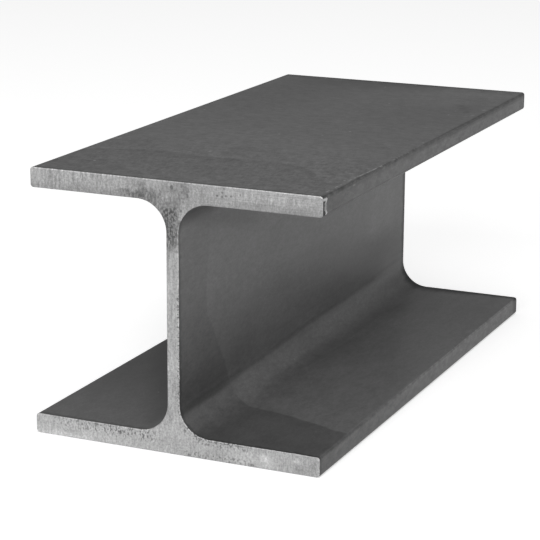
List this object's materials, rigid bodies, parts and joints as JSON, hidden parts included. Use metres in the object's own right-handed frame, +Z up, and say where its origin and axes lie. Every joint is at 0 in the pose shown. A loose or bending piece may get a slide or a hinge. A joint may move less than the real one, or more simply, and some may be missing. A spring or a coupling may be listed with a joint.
{
  "type": "wide-flange steel h-section post",
  "caption": "Short length of hot-rolled wide-flange H-section steel post, sawn square at both ends, lying on one flange with the web upright.",
  "frame": {"origin": "centre of the underside, the outer face of the lower flange, midway between the saw cuts", "axes": "+X across the flanges, +Y along the length, +Z up the web"},
  "size_m": [0.12, 0.24, 0.106],
  "materials": {
    "rolled_steel": "dark grey mill scale as rolled, with bright sawn ends"
  },
  "bodies": {
    "root": {"h_section": "rolled_steel"}
  },
  "joints": []
}
